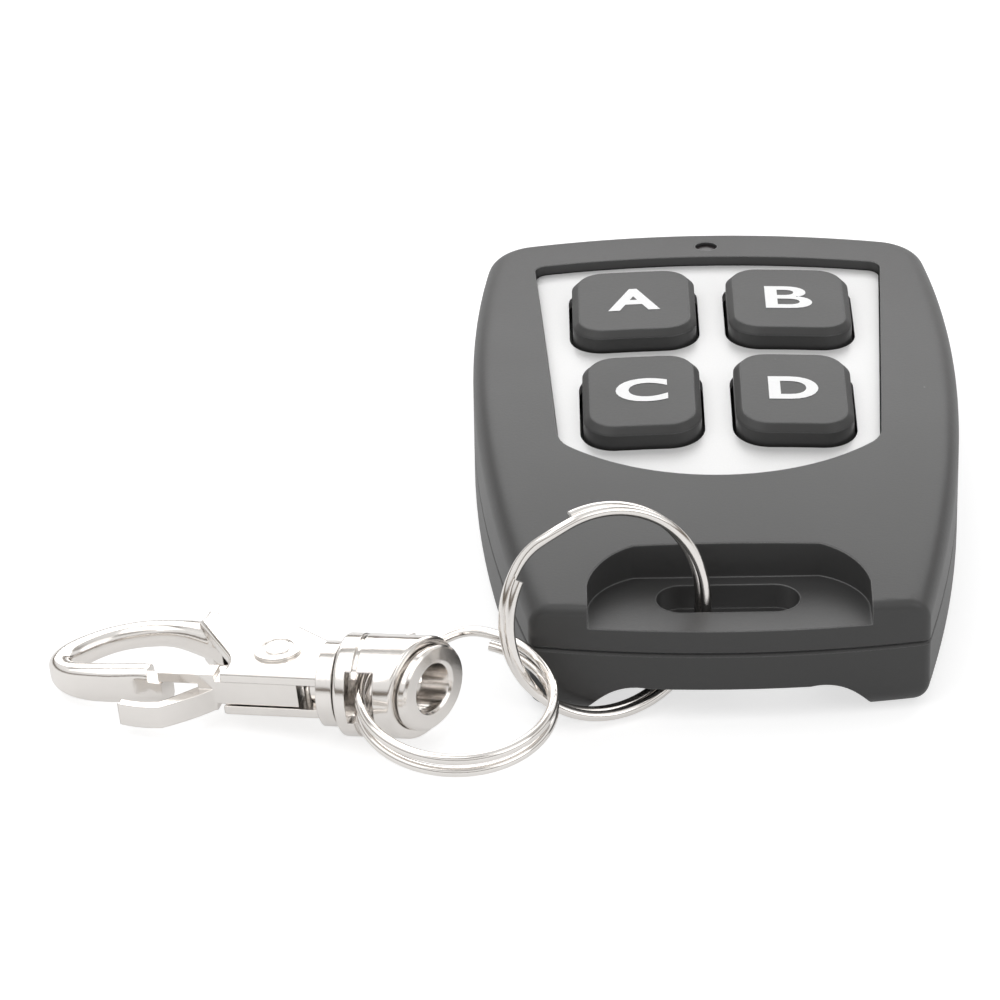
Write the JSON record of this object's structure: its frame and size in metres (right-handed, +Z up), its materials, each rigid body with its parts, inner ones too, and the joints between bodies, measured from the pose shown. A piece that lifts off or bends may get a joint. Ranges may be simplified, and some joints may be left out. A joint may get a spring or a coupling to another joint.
{
  "type": "remote control key fob",
  "caption": "Hand-held radio remote with four push buttons, a key slot and a chained pair of split rings with a swivel snap clasp.",
  "frame": {"origin": "centre of the case's flat back, in the plane it rests on", "axes": "+Z up through the buttons, +Y from the keyring end to the lamp end, +X to the right of the buttons"},
  "size_m": [0.0744, 0.0743, 0.0176],
  "materials": {
    "case": "fine matt texture",
    "plate": "satin silver",
    "keys": "satin",
    "plunger": "smooth",
    "switch": "smooth",
    "board": "solder mask",
    "battery": "printed wrap",
    "screws": "zinc plated",
    "chip": "moulded",
    "lens": "clear tinted",
    "can": "plain",
    "copper": "etched copper",
    "contacts": "nickel plated",
    "ring": "polished nickel",
    "clasp": "polished nickel"
  },
  "bodies": {
    "fob": {"bottom_shell": "case", "top_shell": "case", "face_plate": "plate", "circuit_board": "board", "battery": "battery", "case_screws": "screws", "switch_a": "switch", "switch_b": "switch", "switch_c": "switch", "switch_d": "switch", "lamp_chip": "chip", "lamp_lens": "lens", "encoder_chip": "chip", "resonator_can": "can", "antenna_loop": "copper", "battery_contact_minus": "contacts", "battery_contact_plus": "contacts"},
    "key_a": {"button_a": "keys", "plunger_a": "plunger"},
    "key_b": {"button_b": "keys", "plunger_b": "plunger"},
    "key_c": {"button_c": "keys", "plunger_c": "plunger"},
    "key_d": {"button_d": "keys", "plunger_d": "plunger"},
    "fob_ring": {"ring_fob": "ring"},
    "clasp_ring": {"ring_clasp": "ring"},
    "swivel": {"swivel_barrel": "clasp", "swivel_pin": "clasp"},
    "clasp": {"clasp_body": "clasp", "clasp_rivet": "clasp", "trigger_spring": "contacts"},
    "gate": {"trigger": "clasp"}
  },
  "joints": [
    {"name": "key_a_press", "type": "slide", "parent": "fob", "child": "key_a", "axis": [0, 0, -1], "range_m": [0, 0.00045], "stiffness_N_per_m": 1200},
    {"name": "key_b_press", "type": "slide", "parent": "fob", "child": "key_b", "axis": [0, 0, -1], "range_m": [0, 0.00045], "stiffness_N_per_m": 1200},
    {"name": "key_c_press", "type": "slide", "parent": "fob", "child": "key_c", "axis": [0, 0, -1], "range_m": [0, 0.00045], "stiffness_N_per_m": 1200},
    {"name": "key_d_press", "type": "slide", "parent": "fob", "child": "key_d", "axis": [0, 0, -1], "range_m": [0, 0.00045], "stiffness_N_per_m": 1200},
    {"name": "fob_ring_swing", "type": "hinge", "parent": "fob", "child": "fob_ring", "pos_m": [0, -0.0295, 0.005], "axis": [1, 0, 0], "range_deg": [-8, 3]},
    {"name": "clasp_ring_slide", "type": "hinge", "parent": "fob_ring", "child": "clasp_ring", "pos_m": [-0.00976, -0.02877, 0.00883], "axis": [0.3706, -0.9014, 0.2238], "range_deg": [-60, 0]},
    {"name": "swivel_slide", "type": "hinge", "parent": "clasp_ring", "child": "swivel", "pos_m": [-0.02153, -0.03529, 0.00489], "axis": [0.0148, -0.1743, 0.9846], "range_deg": [-40, 60]},
    {"name": "clasp_spin", "type": "hinge", "parent": "swivel", "child": "clasp", "pos_m": [-0.03044, -0.03152, 0.0042], "axis": [0.959, -0.266, 0.0976], "continuous": true},
    {"name": "gate_open", "type": "hinge", "parent": "clasp", "child": "gate", "pos_m": [-0.0355, -0.02856, 0.00364], "axis": [0.094, -0.0261, -0.9952], "range_deg": [0, 9], "stiffness_Nm_per_rad": 0.02}
  ]
}
